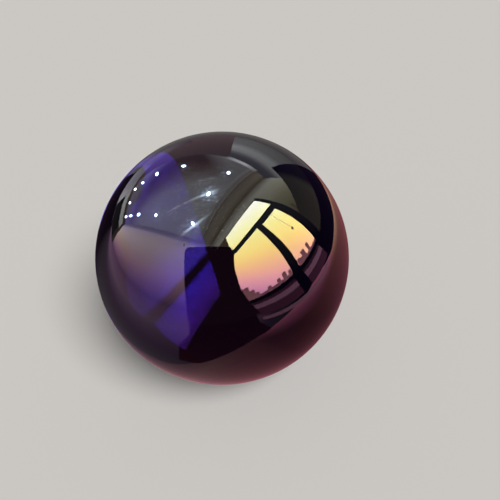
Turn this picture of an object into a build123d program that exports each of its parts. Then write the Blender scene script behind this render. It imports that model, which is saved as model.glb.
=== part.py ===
from build123d import *
import os

# A solid ball of deep violet-blue glass, cast in one piece, then ground and polished all over.
# Lengths are in millimetres. The origin is the centre of the ball, and +Z points up.

BALL_DIAMETER = 60.0


def make_glass_sphere(diameter):
    """One closed solid, with no hollow, core, bore or flat anywhere on it."""
    ball = Sphere(radius=diameter / 2).solid()
    ball.label = "glass_sphere"
    return ball


os.makedirs("parts", exist_ok=True)
glass_sphere = make_glass_sphere(BALL_DIAMETER)
export_step(glass_sphere, f"parts/{glass_sphere.label}.step")
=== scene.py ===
from math import atan2, cos, degrees, log, radians, sin

import bmesh
import bpy
from bpy.props import FloatProperty, FloatVectorProperty, IntProperty, PointerProperty
from mathutils import Matrix, Vector


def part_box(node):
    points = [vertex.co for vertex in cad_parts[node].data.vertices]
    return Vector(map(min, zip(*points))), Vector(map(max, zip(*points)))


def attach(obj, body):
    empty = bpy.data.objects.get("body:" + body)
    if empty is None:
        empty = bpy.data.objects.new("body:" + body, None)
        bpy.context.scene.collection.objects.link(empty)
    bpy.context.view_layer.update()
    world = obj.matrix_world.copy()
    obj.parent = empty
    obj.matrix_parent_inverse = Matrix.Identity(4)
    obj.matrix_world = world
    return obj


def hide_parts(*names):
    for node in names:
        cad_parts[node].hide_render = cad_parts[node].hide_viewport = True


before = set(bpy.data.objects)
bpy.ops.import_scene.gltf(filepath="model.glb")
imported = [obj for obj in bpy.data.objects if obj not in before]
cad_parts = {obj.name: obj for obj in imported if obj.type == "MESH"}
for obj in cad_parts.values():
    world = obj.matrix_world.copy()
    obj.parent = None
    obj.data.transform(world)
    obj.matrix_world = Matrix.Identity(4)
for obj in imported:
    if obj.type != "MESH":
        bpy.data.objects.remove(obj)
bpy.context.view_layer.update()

# A solid ball of deep violet-blue glass, polished all over and lightly marked by use, on a plain
# pale floor. The origin is the centre of the ball, lengths are in metres and +Z points up.

bl_info = {
    "name": "Violet glass sphere",
    "version": (1, 0, 0),
    "blender": (4, 5, 0),
    "location": "3D View > Sidebar > Glass Sphere",
    "description": "Makes a polished violet glass sphere and a plain stage to look at it on",
    "category": "Add Mesh",
}

BALL_NODE = "glass_sphere"
BALL_LOW, BALL_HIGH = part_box(BALL_NODE)
BALL_RADIUS = (BALL_HIGH[2] - BALL_LOW[2]) / 2
FLOOR_LEVEL = BALL_LOW[2]
PHOTO_SIDE = 500


class GlassSphereSettings(bpy.types.PropertyGroup):
    """Sizes and finish of the ball."""

    radius: FloatProperty(
        name="Radius", description="Radius of the ball", default=BALL_RADIUS, unit="LENGTH")
    subdivisions: IntProperty(
        name="Subdivisions", description="Rounds of splitting that make the ball round",
        default=7, min=2, max=8)
    skin: FloatVectorProperty(
        name="Surface tint", description="Light that the glass lets in and out, of white",
        default=(0.102, 0.066, 0.381), subtype="COLOR", size=3, min=0.001, max=1.0)
    tint: FloatVectorProperty(
        name="Depth tint", description="Light left of white after one whole diameter of glass",
        default=(0.467, 0.405, 0.725), subtype="COLOR", size=3, min=0.001, max=1.0)
    refraction: FloatProperty(
        name="Refractive index", description="How strongly the glass bends light",
        default=1.5, min=1.0, max=2.5)
    smear: FloatProperty(
        name="Smear", description="Weight of the bright wiped streaks",
        default=1.0, min=0.0, max=1.0, subtype="FACTOR")
    film: FloatProperty(
        name="Film", description="Weight of the thin film between the streaks",
        default=0.7, min=0.0, max=1.0, subtype="FACTOR")
    haze: FloatProperty(
        name="Haze", description="Roughness of the streaks and the film",
        default=0.24, min=0.0, max=1.0, subtype="FACTOR")
    scratch: FloatProperty(
        name="Scratch", description="Roughness of the hairline scratch",
        default=0.35, min=0.0, max=1.0, subtype="FACTOR")


class StageSettings(bpy.types.PropertyGroup):
    """Sizes, colours and strengths of what the ball is looked at on and under."""

    floor: FloatVectorProperty(
        name="Floor", description="Colour of the floor",
        default=(0.645, 0.62, 0.59), subtype="COLOR", size=3)
    key_level: FloatProperty(
        name="Key level", description="Strength of the soft light from above", default=3.22)
    key_softness: FloatProperty(
        name="Key softness", description="How wide the soft light looks from the ball",
        default=radians(30), subtype="ANGLE")
    key_height: FloatProperty(
        name="Key height", description="Angle of the soft light above the floor",
        default=radians(50), subtype="ANGLE")
    key_turn: FloatProperty(
        name="Key turn", description="Angle of the soft light to the camera's right",
        default=radians(30), subtype="ANGLE")
    room_fill: FloatProperty(
        name="Room fill", description="Strength at which the room lights the floor", default=0.14)
    card_height: FloatProperty(
        name="Card height", description="From the ball's centre up to the overhead card",
        default=3.0, unit="LENGTH")
    panel_gloss: FloatProperty(
        name="Panel gloss", description="Strength at which the polish shows the warm panels",
        default=23.5)
    panel_depth: FloatProperty(
        name="Panel depth", description="Strength at which the depth of the glass shows the panels",
        default=22.0)
    lamp_distance: FloatProperty(
        name="Lamp distance", description="From the ball's centre to the small lamps",
        default=1.5, unit="LENGTH")
    lamp_gloss: FloatProperty(
        name="Lamp gloss", description="Strength at which the polish shows the small lamps",
        default=2100.0)
    camera_distance: FloatProperty(
        name="Camera distance", description="From the ball's centre to the camera",
        default=0.1185, unit="LENGTH")
    camera_height: FloatProperty(
        name="Camera height", description="Angle of the camera above the ball",
        default=radians(41.98), subtype="ANGLE")
    camera_roll: FloatProperty(
        name="Camera roll", description="Turn of the camera about its own axis",
        default=radians(12.51), subtype="ANGLE")
    focal_pixels: FloatProperty(
        name="Focal length in pixels", description="Focal length in pixels of the 500 pixel frame",
        default=483.4)
    ball_pixel: FloatVectorProperty(
        name="Ball pixel", description="Where the ball's centre stands in the 500 pixel frame",
        default=(223.85, 257.7), size=2)


def new_object(name, bm, material):
    """An object that takes its mesh from the bmesh, which is used up."""
    mesh = bpy.data.meshes.new(name)
    bm.to_mesh(mesh)
    bm.free()
    mesh.materials.append(material)
    piece = bpy.data.objects.new(name, mesh)
    bpy.context.scene.collection.objects.link(piece)
    return piece


def blank_material(name):
    material = bpy.data.materials.new(name)
    material.use_nodes = True
    material.node_tree.nodes.clear()
    return material, material.node_tree


def feed(tree, socket, value):
    """Links another node's output to the socket, or sets a plain value on it."""
    if isinstance(value, bpy.types.NodeSocket):
        tree.links.new(value, socket)
    else:
        socket.default_value = value


def maths(tree, operation, first, second=0.0):
    node = tree.nodes.new("ShaderNodeMath")
    node.operation = operation
    feed(tree, node.inputs[0], first)
    feed(tree, node.inputs[1], second)
    return node.outputs[0]


def product(tree, first, second):
    return maths(tree, "MULTIPLY", first, second)


def vector_maths(tree, operation, first, second=None):
    node = tree.nodes.new("ShaderNodeVectorMath")
    node.operation = operation
    feed(tree, node.inputs[0], first)
    if second is not None:
        feed(tree, node.inputs[1], second)
    return node.outputs["Value" if operation in ("DOT_PRODUCT", "DISTANCE") else "Vector"]


def ease(tree, value, start, end, kind="SMOOTHSTEP"):
    """0 at the start and 1 at the end, with a soft change between, or an even one for LINEAR."""
    node = tree.nodes.new("ShaderNodeMapRange")
    node.interpolation_type = kind
    for name, given in (("Value", value), ("From Min", start), ("From Max", end)):
        feed(tree, node.inputs[name], given)
    return node.outputs["Result"]


def mix_colour(tree, factor, first, second):
    mix = tree.nodes.new("ShaderNodeMix")
    mix.data_type = "RGBA"
    tree.links.new(factor, mix.inputs["Factor"])
    for name, colour in (("A", first), ("B", second)):
        linked = isinstance(colour, bpy.types.NodeSocket)
        feed(tree, mix.inputs[name], colour if linked else (*colour, 1))
    return mix.outputs["Result"]


def noise(tree, socket, value, scale, detail):
    """Noise from 0 to 1 over a point, or along one direction where the socket is W."""
    node = tree.nodes.new("ShaderNodeTexNoise")
    node.noise_dimensions = "1D" if socket == "W" else "3D"
    node.inputs["Scale"].default_value = scale
    node.inputs["Detail"].default_value = detail
    tree.links.new(value, node.inputs[socket])
    return node.outputs["Fac"]


def ramp(tree, stops, factor):
    """A colour ramp from 0 to 1 with its stops."""
    node = tree.nodes.new("ShaderNodeValToRGB")
    while len(node.color_ramp.elements) < len(stops):
        node.color_ramp.elements.new(0.5)
    for element, (place, colour) in zip(node.color_ramp.elements, stops):
        element.position = place
        element.color = (*colour, 1)
    tree.links.new(factor, node.inputs["Fac"])
    return node.outputs["Color"]


def new_group(name, inputs):
    """A node group that puts out one mask."""
    group = bpy.data.node_groups.new(name, "ShaderNodeTree")
    for socket, kind in inputs:
        group.interface.new_socket(name=socket, in_out="INPUT", socket_type=kind)
    group.interface.new_socket(name="Mask", in_out="OUTPUT", socket_type="NodeSocketFloat")
    given = group.nodes.new("NodeGroupInput").outputs
    return group, given, group.nodes.new("NodeGroupOutput").inputs["Mask"]


# Each mark is full up to this share of its reach or radius, and fades from there to its end.
LINE_CORE = 0.4
SPECK_CORE = 0.5
FILM_CORE = 0.3
# Scale and detail of the noise that makes the gaps in the lines, the wipes and the speckles, with
# the noise at which each starts and is full. The base is the film that is left between the speckles.
DASHES = (22.0, 3.0)
DASH_LIMITS = (0.58, 0.42)
WIPES = (26.0, 4.0)
WIPE_LIMITS = (0.25, 0.6)
SPECKLES = (85.0, 3.0)
SPECKLE_LIMITS = (0.53, 0.66)
FILM_BASE = 0.03


def line_group():
    """A thin line on the ball's skin, broken into short dashes, that fades to both ends."""
    group, given, mask = new_group("line_mark", (
        ("Point", "NodeSocketVector"), ("Across", "NodeSocketVector"),
        ("Middle", "NodeSocketVector"), ("Width", "NodeSocketFloat"),
        ("Reach", "NodeSocketFloat"), ("Breaks", "NodeSocketFloat")))
    side = vector_maths(group, "DOT_PRODUCT", given["Point"], given["Across"])
    thin = ease(group, maths(group, "ABSOLUTE", side), given["Width"], 0.0)
    away = vector_maths(group, "DISTANCE", given["Point"], given["Middle"])
    ends = ease(group, away, given["Reach"], product(group, given["Reach"], LINE_CORE))
    gaps = ease(group, noise(group, "Vector", given["Point"], *DASHES), *DASH_LIMITS)
    kept = maths(group, "SUBTRACT", 1.0, product(group, given["Breaks"], gaps))
    group.links.new(product(group, product(group, thin, ends), kept), mask)
    return group


def speck_group():
    """A small round mark on the ball's skin with a soft edge."""
    group, given, mask = new_group("spot_mark", (
        ("Point", "NodeSocketVector"), ("Middle", "NodeSocketVector"),
        ("Radius", "NodeSocketFloat")))
    away = vector_maths(group, "DISTANCE", given["Point"], given["Middle"])
    core = product(group, given["Radius"], SPECK_CORE)
    group.links.new(ease(group, away, given["Radius"], core), mask)
    return group


def film_group():
    """A patch of thin greasy film, wiped in one direction and broken up by fine speckles."""
    group, given, mask = new_group("film_patch", (
        ("Point", "NodeSocketVector"), ("Middle", "NodeSocketVector"),
        ("Across", "NodeSocketVector"), ("Reach", "NodeSocketFloat")))
    away = vector_maths(group, "DISTANCE", given["Point"], given["Middle"])
    patch = ease(group, away, given["Reach"], product(group, given["Reach"], FILM_CORE))
    side = vector_maths(group, "DOT_PRODUCT", given["Point"], given["Across"])
    wipes = ease(group, noise(group, "W", side, *WIPES), *WIPE_LIMITS)
    speckles = ease(group, noise(group, "Vector", given["Point"], *SPECKLES), *SPECKLE_LIMITS)
    grain = product(group, wipes, speckles)
    group.links.new(product(group, patch, maths(group, "ADD", grain, FILM_BASE)), mask)
    return group


# Marks of use. Directions and middles are unit vectors from the ball's centre, and widths, reaches
# and radii are in shares of its radius. A line also has how far it is broken up, from 0 to 1.
LINE_SOCKETS = ("Across", "Middle", "Width", "Reach", "Breaks")
STREAKS = [
    ((-0.4051, 0.7845, 0.4694), (-0.124, -0.5559, 0.822), 0.012, 0.16, 0.25),
    ((-0.4051, 0.7845, 0.4694), (-0.17, -0.572, 0.8), 0.015, 0.1, 0.6),
    ((-0.1672, 0.9055, 0.39), (-0.06, -0.406, 0.912), 0.013, 0.16, 0.3),
    ((-0.1672, 0.9055, 0.39), (-0.16, -0.43, 0.888), 0.012, 0.16, 0.85),
    ((0.0807, 0.9526, 0.2932), (-0.0032, -0.2939, 0.9558), 0.012, 0.08, 0.85),
]
SCRATCH = ((0.5469, 0.777, 0.3117), (0.4088, -0.5728, 0.7105), 0.006, 0.11, 0.0)
FILM = {"Middle": (-0.1, -0.42, 0.902), "Across": (-0.2, 0.865, 0.46), "Reach": 0.38}
SPECKS = [
    {"Middle": (-0.2209, -0.63, 0.7445), "Radius": 0.012},
    {"Middle": (0.4681, -0.5924, 0.6557), "Radius": 0.012},
]
SPECK_TINT = (0.004, 0.003, 0.01)


def placed(tree, group, point, values):
    """One mark of a group, with its values set on the group's sockets."""
    node = tree.nodes.new("ShaderNodeGroup")
    node.node_tree = group
    tree.links.new(point, node.inputs["Point"])
    for name, value in values.items():
        node.inputs[name].default_value = value
    return node.outputs["Mask"]


def absorb(tint, path):
    """Volume Absorption colour and density that leave the tint of white light after the path."""
    loss = [-log(share) / path for share in tint]
    density = max(loss)
    return [1 - each / density for each in loss], density


def violet_glass(settings):
    """Polished glass, tinted at its skin and through its depth, with its marks of use."""
    material, tree = blank_material("violet_glass")
    out = tree.nodes.new("ShaderNodeOutputMaterial")
    glass = tree.nodes.new("ShaderNodeBsdfPrincipled")
    glass.inputs["IOR"].default_value = settings.refraction
    glass.inputs["Transmission Weight"].default_value = 1.0
    glass.inputs["Coat Roughness"].default_value = settings.haze
    colour, density = absorb(settings.tint, 2 * settings.radius)
    inside = tree.nodes.new("ShaderNodeVolumeAbsorption")
    inside.inputs["Color"].default_value = (*colour, 1)
    inside.inputs["Density"].default_value = density
    tree.links.new(glass.outputs["BSDF"], out.inputs["Surface"])
    tree.links.new(inside.outputs["Volume"], out.inputs["Volume"])

    place = tree.nodes.new("ShaderNodeTexCoord").outputs["Object"]
    point = vector_maths(tree, "NORMALIZE", place)
    line, speck, film = line_group(), speck_group(), film_group()
    smears = product(tree, placed(tree, film, point, FILM), settings.film)
    for streak in STREAKS:
        mark = placed(tree, line, point, dict(zip(LINE_SOCKETS, streak)))
        smears = maths(tree, "MAXIMUM", smears, product(tree, mark, settings.smear))
    tree.links.new(smears, glass.inputs["Coat Weight"])

    left, right = (placed(tree, speck, point, values) for values in SPECKS)
    dark = maths(tree, "MAXIMUM", left, right)
    tint = mix_colour(tree, dark, settings.skin, SPECK_TINT)
    tree.links.new(tint, glass.inputs["Base Color"])
    worn = placed(tree, line, point, dict(zip(LINE_SOCKETS, SCRATCH)))
    rough = maths(tree, "MAXIMUM", product(tree, worn, settings.scratch), dark)
    tree.links.new(rough, glass.inputs["Roughness"])
    return material


class OBJECT_OT_make_ball(bpy.types.Operator):
    """Makes the polished glass ball"""

    bl_idname = "glass_sphere.make_ball"
    bl_label = "Make the ball"

    def execute(self, context):
        settings = context.scene.glass_sphere
        bm = bmesh.new()
        bmesh.ops.create_icosphere(bm, subdivisions=settings.subdivisions, radius=settings.radius)
        for face in bm.faces:
            face.smooth = True
        ball = new_object("polished_ball", bm, violet_glass(settings))
        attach(ball, "root")
        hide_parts(BALL_NODE)
        return {"FINISHED"}


def from_the_ball(tree):
    """1 for light that the camera gets straight from the glass, and 0 for light on the floor."""
    path = tree.nodes.new("ShaderNodeLightPath").outputs
    return maths(tree, "LESS_THAN", path["Diffuse Depth"], 0.5), path


def measure(tree, direction, low, high):
    """How far a point lies between two places along a direction, from 0 to 1."""
    place = tree.nodes.new("ShaderNodeTexCoord").outputs["Object"]
    along = vector_maths(tree, "DOT_PRODUCT", place, direction)
    return ease(tree, along, low, high, "LINEAR")


def glow(name, colours, along=(0, 0, 1), strength=1.0, fade=None, rim=None, far=()):
    """A card's face that shines, with its colours at their places along a direction, in metres.

    The fade is a direction and the places along it where the light is full and where it ends. The
    rim is a middle in X and Y, the distances from it where the light starts to grow and where it is
    full, and its gain. Far lists directions, the places along them where another colour starts and
    where it is full, and that colour.
    """
    material, tree = blank_material(name)
    out = tree.nodes.new("ShaderNodeOutputMaterial")
    emission = tree.nodes.new("ShaderNodeEmission")
    level = product(tree, from_the_ball(tree)[0], strength)
    if fade:
        direction, full, end = fade
        level = product(tree, level, measure(tree, direction, end, full))
    if rim:
        middle, start, full, gain = rim
        place = tree.nodes.new("ShaderNodeTexCoord").outputs["Object"]
        away = vector_maths(tree, "DISTANCE", place, (*middle, FLOOR_LEVEL))
        grown = product(tree, ease(tree, away, start, full), gain)
        level = product(tree, level, maths(tree, "ADD", grown, 1.0))
    tree.links.new(level, emission.inputs["Strength"])
    if len(colours) == 1:
        emission.inputs["Color"].default_value = (*colours[0][1], 1)
    else:
        low, high = colours[0][0], colours[-1][0]
        stops = [((place - low) / (high - low), colour) for place, colour in colours]
        colour = ramp(tree, stops, measure(tree, along, low, high))
        for direction, start, full, other in far:
            colour = mix_colour(tree, measure(tree, direction, start, full), colour, other)
        tree.links.new(colour, emission.inputs["Color"])
    tree.links.new(emission.outputs[0], out.inputs["Surface"])
    material.cycles.emission_sampling = "NONE"
    return material


def board(name, colour):
    """A board that glows with its own dim colour, whatever falls on it: painted reflection or painted
    shade.
    """
    return glow(name, [(0, colour)])


def shares(unit, colours):
    """Colours whose places are in shares of the unit, with their places in metres."""
    return [(share * unit, colour) for share, colour in colours]


def shown_by(piece, gloss=True, depth=False):
    """Stages a piece that only the ball shows, by its polish or by the depth of its glass."""
    piece.visible_camera = False
    piece.visible_diffuse = False
    piece.visible_shadow = False
    piece.visible_glossy = gloss
    piece.visible_transmission = depth


def flat(name, corners, material):
    """One flat face with its corners in order."""
    bm = bmesh.new()
    bm.faces.new([bm.verts.new(corner) for corner in corners])
    return new_object(name, bm, material)


# Flat cards stand, hang and lie round the ball, square to each other. They glow with colours of their
# own and only the ball shows them, as painted reflections in its polish or painted light in its depth.
# FACING points from the ball at the warm panels, and ALONG runs along them to the right. The places
# and edges of the cards are in shares of the height of the overhead card.
ALONG = Vector((0.6414, 0.7672, 0.0)).normalized()
FACING = Vector((0.7672, -0.6414, 0.0)).normalized()
UP = Vector((0.0, 0.0, 1.0))
PANEL_PLACE = 0.333
LEFT_PLACE = -0.658
RIGHT_PLACE = 1.07
BOARD_PLACE = 0.335
BACK_PLACE = -3.25
FOOT_GAP = 0.002


def spot(stage, along, facing, up):
    """A corner of a card, no lower than just above the floor."""
    place = stage.card_height * (ALONG * along + FACING * facing + UP * up)
    place.z = max(place.z, FLOOR_LEVEL + FOOT_GAP)
    return place


def facing_card(stage, name, place, edges, material, **shown):
    """An upright card square to FACING, at a place along it."""
    left, right, low, high = edges
    ends = ((left, low), (right, low), (right, high), (left, high))
    corners = [spot(stage, along, place, up) for along, up in ends]
    shown_by(flat(name, corners, material), **shown)


def panel_card(stage, name, edges, material, back=1.0, **shown):
    """A card near the plane of the panels, with its edges in shares of its own distance."""
    place = PANEL_PLACE * back
    facing_card(stage, name, place, [edge * place for edge in edges], material, **shown)


def wall_card(stage, name, place, edges, material, slant=0.0):
    """An upright card to the left or right, whose near edge stands off at its foot by the slant."""
    near, far, low, high = edges
    ends = ((near + slant, low), (far, low), (far, high), (near, high))
    shown_by(flat(name, [spot(stage, place, facing, up) for facing, up in ends], material))


def overhead_card(stage, name, edges, material, up=1.0):
    left, right, near, far = edges
    ends = ((left, near), (right, near), (right, far), (left, far))
    shown_by(flat(name, [spot(stage, along, facing, up) for along, facing in ends], material))


# Edges of the panels, of what stands beside and below them and of the black frame behind them:
# left, right, low and high, in shares of each card's own distance.
PANELS = {
    "lower_near_panel": (-1.1, 0.04, 0.08, 1.14),
    "lower_far_panel": (0.18, 0.728, 0.07, 1.085),
    "upper_panel": (-0.86, 0.82, 1.295, 2.04),
}
FRAME_BOARD = (-1.3, 0.97, -0.5, 2.1)
BROWN_BOARD = (-1.97, -0.86, 1.2, 2.1)
BROWN = (0.75, 0.5, 0.28)
LOW_STRIPS = {
    "near_strip": (-1.0, 0.032, 0.035, 0.08),
    "far_strip": (0.187, 0.735, 0.035, 0.075),
}
MAUVE = (2.2, 0.85, 1.15)
FRAME_LINE = (1.08, 1.115, -0.03, 0.8)
FRAME_LINE_COLOUR = (0.4, 0.24, 0.18)
OVER_CARDS = {
    "over_panels": (-1.97, 3.2, 2.08, 3.05),
    "beside_panels": (0.97, 3.2, -0.5, 2.08),
}
# How far behind the plane of the panels these stand, as their distance over that of the panels.
STRIP_BACK = 1.01
FRAME_BACK = 1.02
OVER_BACK = 1.03
# Stepped dim shapes along the lower edge of the panels: left and right edges, and height.
STEPS = [
    (-1.0, -0.73, 0.3), (-0.73, -0.63, 0.2), (-0.63, -0.55, 0.13), (-0.4, -0.33, 0.12),
    (-0.22, -0.16, 0.135), (-0.12, -0.05, 0.16), (-0.02, 0.035, 0.13), (0.185, 0.25, 0.14),
    (0.25, 0.3, 0.12), (0.3, 0.39, 0.175), (0.455, 0.525, 0.18),
]
STEP_FOOT = 0.04
STEP_BACK = 0.99
STEP_COLOUR = (2.8, 1.1, 1.3)
# The depth of the glass shows a panel of its own, painted light that stands in for the panels seen
# within the glass, which fades out along the slanted direction.
DEEP_PANEL = (-0.9, 0.2, 0.03, 2.06)
DEEP_SLANT = -0.2
DEEP_FULL = -0.54
DEEP_END = -0.17

# Colours of the panels and of what is beside them, at heights in shares of the panels' distance.
WARM_SLANT = 0.4
WARM = [
    (-0.1, (0.5, 0.2, 0.33)),
    (0.1, (0.74, 0.31, 0.35)),
    (0.3, (0.88, 0.45, 0.27)),
    (0.5, (0.93, 0.59, 0.22)),
    (0.7, (0.96, 0.74, 0.23)),
    (0.95, (0.955, 0.82, 0.29)),
    (1.2, (0.95, 0.9, 0.4)),
    (1.5, (0.96, 0.94, 0.52)),
    (1.85, (0.98, 0.97, 0.72)),
    (2.3, (1.0, 0.99, 0.9)),
]
DEEP = [
    (0.03, (0.2, 0.12, 0.17)),
    (0.18, (0.31, 0.2, 0.33)),
    (0.3, (0.35, 0.23, 0.39)),
    (0.4, (0.34, 0.26, 0.31)),
    (0.5, (0.32, 0.26, 0.25)),
    (0.6, (0.4, 0.38, 0.34)),
    (0.8, (1.15, 1.15, 1.0)),
    (0.99, (1.4, 1.5, 1.25)),
    (1.07, (0.02, 0.02, 0.02)),
    (1.17, (0.02, 0.02, 0.02)),
    (1.24, (0.95, 0.72, 1.15)),
    (1.6, (1.2, 0.55, 0.75)),
    (1.8, (1.0, 0.42, 0.52)),
    (1.98, (0.7, 0.32, 0.28)),
    (2.06, (0.02, 0.02, 0.02)),
]
FRAME = [
    (0.0, (0.02, 0.015, 0.015)),
    (0.35, (0.1, 0.09, 0.08)),
    (1.1, (0.2, 0.2, 0.2)),
    (2.1, (0.22, 0.23, 0.2)),
]
OVER_PANELS = [
    (0.0, (0.1, 0.07, 0.05)),
    (0.4, (0.45, 0.35, 0.2)),
    (0.8, (1.0, 0.92, 0.55)),
    (1.2, (1.5, 1.42, 0.95)),
    (1.6, (2.2, 2.15, 1.6)),
    (2.15, (2.7, 2.65, 2.15)),
    (2.35, (2.5, 2.4, 2.05)),
    (2.65, (1.8, 1.7, 1.4)),
    (3.0, (1.0, 0.9, 0.68)),
]


def make_panels(stage):
    """The warm panels in their black frame, and the strips and steps along their edges."""
    unit = stage.card_height * PANEL_PLACE
    warm = glow("warm_panel", shares(unit, WARM), UP + ALONG * WARM_SLANT, stage.panel_gloss)
    for name, edges in PANELS.items():
        panel_card(stage, name, edges, warm)
    fade = (ALONG + UP * DEEP_SLANT, DEEP_FULL * unit, DEEP_END * unit)
    deep = glow("deep_panel", shares(unit, DEEP), strength=stage.panel_depth, fade=fade)
    panel_card(stage, "deep_panel", DEEP_PANEL, deep, gloss=False, depth=True)
    black = glow("black_frame", shares(unit, FRAME))
    panel_card(stage, "frame_board", FRAME_BOARD, black, FRAME_BACK)
    brown = board("brown_board", BROWN)
    panel_card(stage, "beside_upper_panel", BROWN_BOARD, brown, STRIP_BACK)
    mauve = board("mauve_strip", MAUVE)
    for name, edges in LOW_STRIPS.items():
        panel_card(stage, name, edges, mauve, STRIP_BACK)
    panel_card(stage, "frame_line", FRAME_LINE, board("frame_line", FRAME_LINE_COLOUR))
    dim = board("dim_step", STEP_COLOUR)
    for number, (left, right, high) in enumerate(STEPS):
        edges = (left, right, STEP_FOOT, high)
        panel_card(stage, f"step_{number + 1}", edges, dim, STEP_BACK)


# Edges of the overhead cards: left, right, near and far.
OVERHEAD_CARD = (LEFT_PLACE, RIGHT_PLACE, -3.3, 0.03)
COVE_CARD = (LEFT_PLACE * 1.1, RIGHT_PLACE, 0.03, 0.34)
LINE_CARD = (1.0, RIGHT_PLACE, -0.42, 0.14)
LINE_HEIGHT = 0.99
# Edges of the cards to the left and right: near, far, low and high.
SIDE_CARD = (-3.3, 0.6, -0.1, 1.0)
RIGHT_CARD = (-0.4, 0.9, 0.0, 0.79)
RIGHT_SLANT = -0.157
SEAM_CARD = (-0.4, 0.5, 0.79, 1.0)
SEAM_COLOUR = (0.45, 0.45, 0.5)
STRIP_CARD = (-0.42, 0.14, 0.945, 0.998)
STRIP_PLACE = RIGHT_PLACE * 0.995
BOARD_CARD = (BOARD_PLACE * 0.13, 0.34, 0.0, BOARD_PLACE * 0.56)
BOARD_SLANT = -0.049

# Colours of the left card at heights in shares of its distance, and of the right one likewise.
SIDE = [
    (0.0, (0.7, 0.35, 0.75)),
    (0.2, (1.6, 0.85, 1.35)),
    (0.4, (2.6, 1.55, 1.8)),
    (0.6, (3.1, 2.2, 2.05)),
    (0.8, (3.5, 2.75, 2.5)),
    (1.0, (3.8, 3.05, 2.8)),
    (1.25, (3.2, 2.7, 2.7)),
    (1.37, (1.5, 1.3, 1.5)),
    (1.52, (1.0, 0.9, 1.0)),
]
RIGHT = [
    (0.0, (0.25, 0.25, 0.22)),
    (0.3, (0.62, 0.62, 0.6)),
    (0.46, (1.45, 1.5, 1.48)),
    (0.57, (1.45, 1.48, 1.5)),
    (0.64, (0.95, 0.95, 0.96)),
    (0.69, (0.63, 0.63, 0.66)),
    (0.73, (0.52, 0.52, 0.56)),
]
# Colours of the other cards at their places, in shares of the overhead card's height: the overhead
# card's along the sloped direction, and the cove's, the strip's and the board's along FACING.
OVERHEAD_SLOPE = -0.5
OVERHEAD = [
    (0.0, (1.75, 1.75, 1.8)),
    (0.4, (1.5, 1.45, 1.45)),
    (0.6, (0.95, 0.8, 0.75)),
    (0.75, (0.62, 0.46, 0.38)),
    (0.9, (0.5, 0.33, 0.27)),
    (1.1, (0.34, 0.2, 0.16)),
    (1.4, (0.3, 0.2, 0.17)),
]
OVERHEAD_FAR = [
    (-FACING, 1.5, 2.3, (0.85, 0.75, 1.0)),
    (ALONG + FACING, 0.2, 0.6, (1.2, 1.17, 1.18)),
]
COVE = [
    (0.02, (1.5, 1.5, 1.55)),
    (0.07, (1.5, 1.45, 1.4)),
    (0.08, (1.1, 1.0, 0.9)),
    (0.13, (1.35, 1.25, 1.05)),
    (0.14, (0.6, 0.5, 0.38)),
    (0.155, (1.0, 0.85, 0.62)),
    (0.25, (1.25, 1.1, 0.8)),
    (0.31, (0.9, 0.75, 0.5)),
    (0.33, (0.55, 0.45, 0.3)),
    (0.345, (1.3, 1.15, 0.85)),
]
STRIP = [
    (-0.43, (1.1, 1.1, 1.2)),
    (-0.38, (1.8, 1.8, 1.95)),
    (-0.25, (3.8, 3.8, 4.0)),
    (-0.1, (4.9, 4.95, 5.2)),
    (0.0, (3.2, 3.2, 3.3)),
    (0.13, (1.9, 1.9, 1.85)),
]
BOARD = [
    (0.0, (0.04, 0.03, 0.03)),
    (0.065, (0.04, 0.03, 0.03)),
    (0.1, (0.2, 0.18, 0.13)),
    (0.34, (0.26, 0.23, 0.16)),
]


def make_cards(stage):
    """The cards to the left, overhead, over and beside the panels, and to the right."""
    unit = stage.card_height
    side = glow("side_card", shares(-LEFT_PLACE * unit, SIDE))
    wall_card(stage, "side_card", LEFT_PLACE, SIDE_CARD, side)
    far = [(turn, start * unit, full * unit, colour) for turn, start, full, colour in OVERHEAD_FAR]
    slope = ALONG + FACING * OVERHEAD_SLOPE
    overhead = glow("overhead", shares(unit, OVERHEAD), slope, far=far)
    overhead_card(stage, "overhead_card", OVERHEAD_CARD, overhead)
    overhead_card(stage, "cove_card", COVE_CARD, glow("cove", shares(unit, COVE), FACING))
    over = glow("over_panels", shares(unit * PANEL_PLACE, OVER_PANELS))
    for name, edges in OVER_CARDS.items():
        panel_card(stage, name, edges, over, OVER_BACK)
    right = glow("right_card", shares(unit * RIGHT_PLACE, RIGHT))
    wall_card(stage, "right_card", RIGHT_PLACE, RIGHT_CARD, right, RIGHT_SLANT)
    wall_card(stage, "right_seam", RIGHT_PLACE, SEAM_CARD, board("right_seam", SEAM_COLOUR))
    strip = glow("right_strip", shares(unit, STRIP), FACING)
    wall_card(stage, "right_strip", STRIP_PLACE, STRIP_CARD, strip)
    overhead_card(stage, "right_line", LINE_CARD, strip, LINE_HEIGHT)
    black = glow("black_board", shares(unit, BOARD), FACING)
    wall_card(stage, "right_board", BOARD_PLACE, BOARD_CARD, black, BOARD_SLANT)


# The boards far behind the ball: left, right, low and high edges, and colour.
BACK_BOARDS = [
    ("back_board", (-0.42, 0.62, -0.1, 0.5), (0.06, 0.05, 0.05)),
    ("back_strip", (-0.5, 0.62, 0.52, 0.78), (1.6, 1.7, 1.65)),
    ("back_edge", (-0.58, -0.42, -0.1, 0.5), (0.2, 0.15, 0.13)),
]
BACK_GLOW_CARD = (0.62, 3.6, -0.1, 0.78)
BACK_GLOW = [
    (0.62, (1.45, 1.4, 1.5)),
    (0.8, (1.35, 1.3, 1.4)),
    (1.0, (0.95, 0.9, 1.0)),
    (1.2, (0.78, 0.75, 0.88)),
    (1.6, (0.68, 0.62, 0.8)),
    (1.82, (0.45, 0.4, 0.25)),
    (2.3, (0.4, 0.35, 0.15)),
    (2.5, (0.42, 0.35, 0.38)),
    (3.6, (0.2, 0.14, 0.15)),
]


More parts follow.
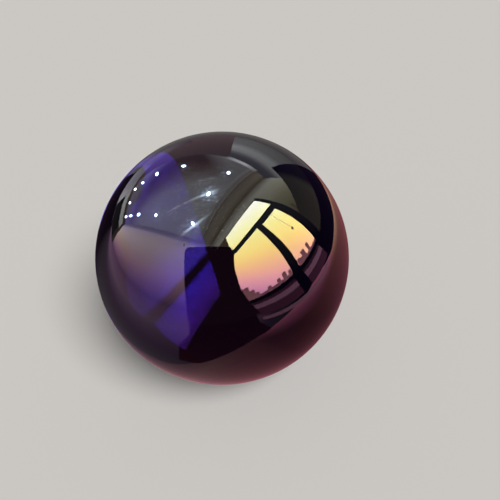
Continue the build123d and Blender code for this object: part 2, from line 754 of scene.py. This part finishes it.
def make_back(stage):
    """A black board far behind the ball with a pale strip along its top, and a glow beside it: painted
    reflections that only the polish shows.
    """
    for name, edges, colour in BACK_BOARDS:
        facing_card(stage, name, BACK_PLACE, edges, board(name, colour))
    light = glow("back_glow", shares(stage.card_height, BACK_GLOW), ALONG)
    facing_card(stage, "back_glow", BACK_PLACE, BACK_GLOW_CARD, light)


# The collar, the disc and the strips lie just above the floor, and only the polish shows them, as
# painted reflections in place of the floor. Their lifts keep them in order. All lengths are in metres.
DISC_LIFT = 0.0005
COLLAR_LIFT = 0.001
PATCH_LIFT = 0.0014
STRIP_LIFT = 0.0015
FRONT_LIFT = 0.0016
COLLAR_CENTRE = (0.05, 0.0)
COLLAR_REACH = 6.0
COLLAR_SIDES = 120
COLLAR = [
    (0.0, (0.02, 0.01, 0.015)),
    (0.026, (0.1, 0.08, 0.09)),
    (0.045, (0.14, 0.1, 0.13)),
    (0.06, (0.2, 0.11, 0.2)),
    (0.09, (0.44, 0.26, 0.44)),
    (0.13, (0.75, 0.44, 0.7)),
    (0.3, (0.8, 0.42, 0.75)),
    (1.9, (0.7, 0.35, 0.75)),
]
# The collar's inner edge, as turns from +X in degrees and distances from its centre.
HOLE = [
    (-180, 0.094), (-160, 0.086), (-130, 0.084), (-90, 0.085), (-70, 0.088), (-55, 0.093),
    (-40, 0.105), (-25, 0.109), (-12, 0.1), (0, 0.095), (20, 0.104), (50, 0.106), (75, 0.1),
    (100, 0.098), (130, 0.1), (180, 0.094),
]
DISC_RADIUS = 0.115
DISC_SIDES = 96
# The disc's colours along +X in metres: a painted reflection, darker from 0.02 to 0.04 beside the ball
# as painted shade.
DISC = [
    (-0.045, (0.15, 0.09, 0.12)),
    (-0.03, (0.32, 0.17, 0.2)),
    (-0.018, (0.52, 0.24, 0.25)),
    (0.0, (0.45, 0.155, 0.17)),
    (0.01, (0.37, 0.12, 0.135)),
    (0.02, (0.23, 0.066, 0.08)),
    (0.04, (0.2, 0.06, 0.065)),
    (0.072, (0.42, 0.12, 0.12)),
    (0.105, (0.58, 0.19, 0.17)),
]
# The disc's brighter rim, a painted highlight, and its other colours, in the order that glow takes
# them.
DISC_RIM = ((0.02, 0.02), 0.085, 0.13, 2.1)
DISC_FAR = [
    ((0.8, 0.6, 0.0), 0.09, 0.14, (0.6, 0.32, 0.2)),
    ((0.5, -0.866, 0.0), 0.066, 0.084, (0.75, 0.2, 0.34)),
]
FRONT_BOARD = [
    (0.03, -0.08), (0.008, -0.074), (-0.006, -0.063), (-0.0147, -0.0535), (-0.0235, -0.041),
    (-0.033, -0.036), (-0.05, -0.058), (-0.06, -0.09), (-0.128, -0.19), (0.05, -0.21),
    (0.031, -0.12),
]
FRONT_COLOUR = (0.09, 0.02, 0.025)
RIGHT_PATCH = [(0.1, -0.2), (2.5, -5.0), (3.2, -2.1), (3.2, -0.1), (0.14, -0.004)]
RIGHT_PATCH_COLOUR = (0.23, 0.21, 0.2)
# Strips in the two gaps below the panels: each gap's left and right edges in shares of the distance
# from the ball, then each strip's near and far ends, and its colour.
FLOOR_GAPS = {"near_gap": (-0.75, 0.032), "far_gap": (0.187, 0.7)}
FLOOR_STRIPS = [
    (0.14, 0.25, (0.42, 0.13, 0.22)),
    (0.25, 0.48, (1.6, 0.72, 1.1)),
    (0.48, 3.0, (0.32, 0.11, 0.17)),
]
THIN_STRIP = (-0.65, 0.62, 0.108, 0.126)
THIN_COLOUR = (1.3, 0.58, 0.8)


def hole_edge(turn):
    """Distance of the collar's inner edge from its centre at a turn in degrees."""
    for (start, near), (end, far) in zip(HOLE, HOLE[1:]):
        if start <= turn <= end:
            share = (turn - start) / (end - start)
            share = share * share * (3 - 2 * share)
            return near + (far - near) * share
    raise ValueError(turn)


def floor_card(name, places, lift, material):
    """A card that lies at a lift above the floor, with its corners at places along and facing."""
    level = UP * (FLOOR_LEVEL + lift)
    corners = [ALONG * along + FACING * facing + level for along, facing in places]
    shown_by(flat(name, corners, material))


def wedge(left, right, near, far):
    """Corners of a strip whose left and right edges run away from the ball."""
    return (left * near, near), (right * near, near), (right * far, far), (left * far, far)


def make_collar():
    """A dark collar round the ball, with a warm brown disc in it: painted reflections for the lower
    half of its polish.
    """
    middle = Vector((*COLLAR_CENTRE, FLOOR_LEVEL + COLLAR_LIFT))
    place = Matrix.Translation(middle)
    bm = bmesh.new()
    ring = bmesh.ops.create_circle(bm, segments=COLLAR_SIDES, radius=1.0, matrix=place)
    for vert in ring["verts"]:
        out = vert.co - middle
        vert.co = middle + out * hole_edge(degrees(atan2(out.y, out.x)))
    bmesh.ops.create_circle(bm, segments=COLLAR_SIDES, radius=COLLAR_REACH, matrix=place)
    bmesh.ops.bridge_loops(bm, edges=bm.edges)
    bmesh.ops.reverse_faces(bm, faces=bm.faces)
    shown_by(new_object("collar", bm, glow("collar", COLLAR, -ALONG)))

    bm = bmesh.new()
    place = Matrix.Translation((*COLLAR_CENTRE, FLOOR_LEVEL + DISC_LIFT))
    bmesh.ops.create_circle(
        bm, cap_ends=True, segments=DISC_SIDES, radius=DISC_RADIUS, matrix=place)
    warm = glow("disc", DISC, (1, 0, 0), rim=DISC_RIM, far=DISC_FAR)
    shown_by(new_object("disc", bm, warm))


def make_floor_cards():
    """The dark board in front of the ball, the strips below the panels and the patch to the right."""
    corners = [(x, y, FLOOR_LEVEL + FRONT_LIFT) for x, y in FRONT_BOARD]
    shown_by(flat("front_board", corners, board("front_black", FRONT_COLOUR)))
    for number, (near, far, colour) in enumerate(FLOOR_STRIPS):
        strip = board(f"floor_strip_{number + 1}", colour)
        for name, edges in FLOOR_GAPS.items():
            floor_card(f"{name}_{number + 1}", wedge(*edges, near, far), STRIP_LIFT, strip)
    patch = board("right_patch", RIGHT_PATCH_COLOUR)
    floor_card("right_patch", RIGHT_PATCH, PATCH_LIFT, patch)
    floor_card("thin_strip", wedge(*THIN_STRIP), STRIP_LIFT, board("thin_strip", THIN_COLOUR))


# The shade is a black patch close round the back of the ball, which only the depth of the glass
# shows: painted shade that darkens what the glass lets through from behind. Each row has the turn of
# its upper corner, counted from the camera's side to its right, that corner's height above the ball's
# middle, and the turn of its lower corner, all in degrees.
SHADE = [
    (26, -53.5, 26),
    (34, -51.2, 34),
    (38, -49.8, 38),
    (42, -48, 42),
    (45, -42, 45),
    (50, -33, 50),
    (57, -29, 57),
    (63, -25, 63),
    (69, -19, 69),
    (72, -4, 72),
    (90, 6, 90),
    (98, 12, 98),
    (108, 30, 120),
    (122, 38, 130),
    (134, 44, 150),
    (190, 44, 190),
    (240, 40, 240),
]
SHADE_FOOT = -80
SHADE_STEPS = 8
SHADE_GAP = 1.025
SHADE_COLOUR = (0.005, 0.004, 0.006)


def shade_place(row, down):
    """A point of the shade, at a place along its rows and at a share of the way down."""
    first = min(int(row), len(SHADE) - 2)
    share = row - first
    turn, height, foot = (a + (b - a) * share for a, b in zip(SHADE[first], SHADE[first + 1]))
    turn = radians(turn + (foot - turn) * down)
    height = radians(height + (SHADE_FOOT - height) * down)
    out = Vector((sin(turn) * cos(height), -cos(turn) * cos(height), sin(height)))
    return out * BALL_RADIUS * SHADE_GAP


def make_shade():
    """A black patch of painted shade that follows the ball's back, just clear of the glass."""
    spans = len(SHADE) - 1
    bm = bmesh.new()
    bmesh.ops.create_grid(
        bm, x_segments=spans * SHADE_STEPS, y_segments=SHADE_STEPS, size=0.5)
    for vert in bm.verts:
        vert.co = shade_place((vert.co.x + 0.5) * spans, vert.co.y + 0.5)
    shown_by(new_object("shade", bm, board("shade_black", SHADE_COLOUR)), gloss=False, depth=True)


# The lamps hang in two rows, with one more across each end. A lamp is wider the higher it hangs.
LAMPS_ALONG = (0.6, 0.1, -0.4)
LAMPS_FACING = (-0.1, -0.87, -1.62, -2.36, -3.05)
LAMP_SIDES = 24
LAMP_RADIUS = 0.003
LAMP_SPREAD = 0.023
LAMP_COLOUR = (0.56, 0.76, 1.0)


def make_lamps(stage):
    """Two rows of small lamps overhead, with one more across each end."""
    material = glow("small_lamp", [(0, LAMP_COLOUR)], strength=stage.lamp_gloss)
    material.cycles.emission_sampling = "FRONT_BACK"
    right, middle, left = LAMPS_ALONG
    places = [(along, facing) for facing in LAMPS_FACING for along in (right, left)]
    places += [(middle, LAMPS_FACING[0]), (middle, LAMPS_FACING[-1])]
    for number, (along, facing) in enumerate(places):
        towards = (ALONG * along + FACING * facing + UP).normalized()
        place = Matrix.Translation(towards * stage.lamp_distance)
        turn = towards.to_track_quat("Z", "Y").to_matrix().to_4x4()
        radius = LAMP_RADIUS + LAMP_SPREAD * towards.z
        bm = bmesh.new()
        bmesh.ops.create_circle(
            bm, cap_ends=True, segments=LAMP_SIDES, radius=radius, matrix=place @ turn)
        shown_by(new_object(f"small_lamp_{number + 1}", bm, material))


# The card round the camera, in metres right of, above and behind the camera.
CAMERA_CARD = [
    (-0.063, 0.0166), (-0.0655, -0.035), (-0.071, -0.078), (-0.09, -0.16),
    (0.11, -0.16), (0.05, -0.085), (0.028, -0.052), (0.016, -0.016), (0.0142, 0.0166),
]
CAMERA_CARD_BACK = 0.002
CAMERA_CARD_CORNER = 0.009
CAMERA_CARD_COLOUR = (0.11, 0.035, 0.035)


def make_camera_card(camera):
    """A dark card with round corners just behind the camera, which the polish shows as a dark shape."""
    bm = bmesh.new()
    verts = [bm.verts.new((x, y, CAMERA_CARD_BACK)) for x, y in CAMERA_CARD]
    bm.faces.new(verts)
    bmesh.ops.bevel(
        bm, geom=[verts[0], verts[-1]], offset=CAMERA_CARD_CORNER, segments=8, profile=0.5,
        affect="VERTICES", material=-1)
    bmesh.ops.transform(bm, matrix=camera.matrix_basis, verts=bm.verts)
    shown_by(new_object("camera_card", bm, board("camera_card", CAMERA_CARD_COLOUR)))


FLOOR_REACH = 6.0


def make_floor(stage):
    material, tree = blank_material("pale_floor")
    out = tree.nodes.new("ShaderNodeOutputMaterial")
    matt = tree.nodes.new("ShaderNodeBsdfDiffuse")
    matt.inputs["Color"].default_value = (*stage.floor, 1)
    tree.links.new(matt.outputs[0], out.inputs["Surface"])
    ends = ((-1, -1), (1, -1), (1, 1), (-1, 1))
    corners = [(x * FLOOR_REACH, y * FLOOR_REACH, FLOOR_LEVEL) for x, y in ends]
    flat("floor", corners, material)


# What stands behind the floor, by height from level to straight up, for the camera, for the polish
# and for the depth of the glass. The polish and the depth see painted colours of their own.
SEEN = [(0.0, (0.6, 0.58, 0.55)), (0.8, (0.98, 0.98, 0.98))]
POLISHED = [
    (0.0, (0.28, 0.19, 0.18)),
    (0.45, (0.42, 0.29, 0.27)),
    (0.78, (0.5, 0.38, 0.35)),
    (0.95, (1.1, 1.05, 1.05)),
]
DEPTH = [
    (0.0, (0.5, 0.47, 0.44)),
    (0.12, (0.45, 0.42, 0.4)),
    (0.4, (0.15, 0.14, 0.13)),
    (1.0, (0.08, 0.08, 0.08)),
]


def make_world(stage):
    world = bpy.data.worlds.new("pale_room")
    bpy.context.scene.world = world
    world.use_nodes = True
    tree = world.node_tree
    tree.nodes.clear()
    out = tree.nodes.new("ShaderNodeOutputWorld")
    back = tree.nodes.new("ShaderNodeBackground")
    split = tree.nodes.new("ShaderNodeSeparateXYZ")
    place = tree.nodes.new("ShaderNodeTexCoord")
    tree.links.new(place.outputs["Generated"], split.inputs[0])
    height = split.outputs["Z"]
    first, path = from_the_ball(tree)
    fill = (stage.room_fill,) * 3
    colour = mix_colour(tree, path["Is Camera Ray"], fill, ramp(tree, SEEN, height))
    for flag, stops in (("Is Glossy Ray", POLISHED), ("Is Transmission Ray", DEPTH)):
        share = product(tree, first, path[flag])
        colour = mix_colour(tree, share, colour, ramp(tree, stops, height))
    tree.links.new(colour, back.inputs["Color"])
    tree.links.new(back.outputs[0], out.inputs["Surface"])


def make_key(stage):
    """A soft light from above that lights the floor, and that neither polish nor glass passes on."""
    lamp = bpy.data.lights.new("key_light", "SUN")
    lamp.energy = stage.key_level
    lamp.angle = stage.key_softness
    key = bpy.data.objects.new("key_light", lamp)
    bpy.context.scene.collection.objects.link(key)
    key.visible_glossy = False
    key.visible_transmission = False
    height, turn = stage.key_height, stage.key_turn
    back = Vector((sin(turn) * cos(height), -cos(turn) * cos(height), sin(height)))
    key.rotation_mode = "QUATERNION"
    key.rotation_quaternion = back.to_track_quat("Z", "Y")


SENSOR_WIDTH = 36.0
NEAREST = 0.005
FURTHEST = 20.0


def make_camera(stage):
    """A camera that sees the ball's centre at the named pixel, with its up tilted by the roll."""
    lens = bpy.data.cameras.new("camera")
    lens.sensor_width = SENSOR_WIDTH
    lens.lens = SENSOR_WIDTH * stage.focal_pixels / PHOTO_SIDE
    lens.clip_start = NEAREST
    lens.clip_end = FURTHEST
    camera = bpy.data.objects.new("camera", lens)
    bpy.context.scene.collection.objects.link(camera)
    bpy.context.scene.camera = camera
    height = stage.camera_height
    back = Vector((0, -cos(height), sin(height)))
    camera.location = back * stage.camera_distance
    facing = back.to_track_quat("Z", "Y").to_matrix()
    middle = PHOTO_SIDE / 2
    right, down = stage.ball_pixel
    aim = Vector((right - middle, middle - down, -stage.focal_pixels)).normalized()
    turn = aim.rotation_difference(Vector((0, 0, -1))).to_matrix()
    roll = Matrix.Rotation(-stage.camera_roll, 3, "Z")
    camera.rotation_mode = "QUATERNION"
    camera.rotation_quaternion = (facing @ roll @ turn).to_quaternion()
    return camera


class OBJECT_OT_make_stage(bpy.types.Operator):
    """Makes the floor, the lights, the cards that only the ball shows and the camera"""

    bl_idname = "glass_sphere.make_stage"
    bl_label = "Make the stage"

    def execute(self, context):
        stage = context.scene.glass_sphere_stage
        make_floor(stage)
        make_world(stage)
        make_key(stage)
        make_panels(stage)
        make_cards(stage)
        make_lamps(stage)
        make_back(stage)
        make_collar()
        make_floor_cards()
        make_shade()
        make_camera_card(make_camera(stage))
        context.scene.view_settings.view_transform = "Standard"
        return {"FINISHED"}


class VIEW3D_PT_glass_sphere(bpy.types.Panel):
    bl_label = "Glass Sphere"
    bl_space_type = "VIEW_3D"
    bl_region_type = "UI"
    bl_category = "Glass Sphere"

    def draw(self, context):
        layout = self.layout
        for settings, operator in (
            (context.scene.glass_sphere, OBJECT_OT_make_ball),
            (context.scene.glass_sphere_stage, OBJECT_OT_make_stage),
        ):
            box = layout.box()
            for name in settings.__annotations__:
                box.prop(settings, name)
            box.operator(operator.bl_idname)


CLASSES = (
    GlassSphereSettings,
    StageSettings,
    OBJECT_OT_make_ball,
    OBJECT_OT_make_stage,
    VIEW3D_PT_glass_sphere,
)


def register():
    for each in CLASSES:
        bpy.utils.register_class(each)
    bpy.types.Scene.glass_sphere = PointerProperty(type=GlassSphereSettings)
    bpy.types.Scene.glass_sphere_stage = PointerProperty(type=StageSettings)


def unregister():
    del bpy.types.Scene.glass_sphere_stage
    del bpy.types.Scene.glass_sphere
    for each in reversed(CLASSES):
        bpy.utils.unregister_class(each)


def main():
    register()
    bpy.ops.glass_sphere.make_stage()
    bpy.ops.glass_sphere.make_ball()


if __name__ == "__main__":
    main()
